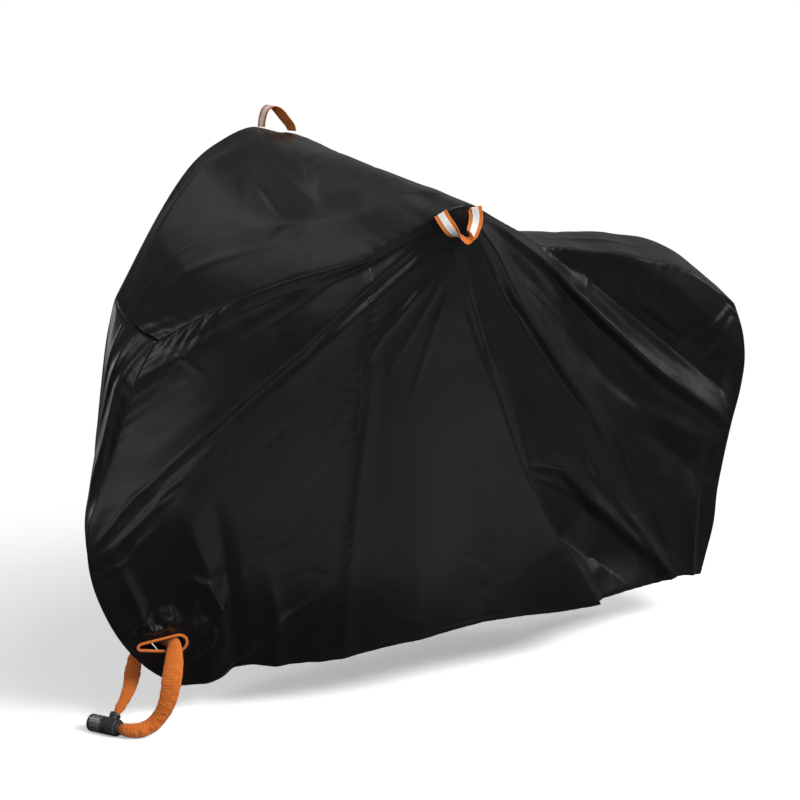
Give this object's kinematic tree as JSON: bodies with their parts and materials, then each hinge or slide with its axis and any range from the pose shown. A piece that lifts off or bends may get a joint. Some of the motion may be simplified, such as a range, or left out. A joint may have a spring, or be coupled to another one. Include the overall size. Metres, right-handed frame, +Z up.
{
  "type": "bicycle cover",
  "caption": "Black fitted bicycle cover hanging in folds, with orange loops, bound lock slots and a sleeved cable lock.",
  "frame": {"origin": "under the cover's top, at the middle of the handlebar that holds it up", "axes": "+X to the rear of the cover, +Y across to the higher bar end, +Z up"},
  "size_m": [1.8537, 0.7353, 1.3499],
  "materials": {
    "black_cloth": "satin coated weave",
    "orange_webbing": "woven",
    "reflective_tape": "satin",
    "orange_binding": "woven",
    "orange_sleeve": "wrinkled cloth",
    "dark_lock": "satin",
    "lock_dials": "knurled"
  },
  "bodies": {
    "root": {"near_front_panel": "black_cloth", "near_rear_panel": "black_cloth", "far_front_panel": "black_cloth", "far_rear_panel": "black_cloth", "front_gusset": "black_cloth", "top_panel": "black_cloth", "rear_gusset": "black_cloth", "near_loop": "orange_webbing", "near_loop_tape": "reflective_tape", "far_loop": "orange_webbing", "far_loop_tape": "reflective_tape", "near_lock_eyelet": "orange_binding", "far_lock_eyelet": "orange_binding", "lock_strap": "orange_sleeve", "lock_body": "dark_lock", "lock_cap": "dark_lock", "lock_dial_1": "lock_dials", "lock_dial_2": "lock_dials", "lock_dial_3": "lock_dials", "lock_dial_4": "lock_dials"}
  },
  "joints": []
}
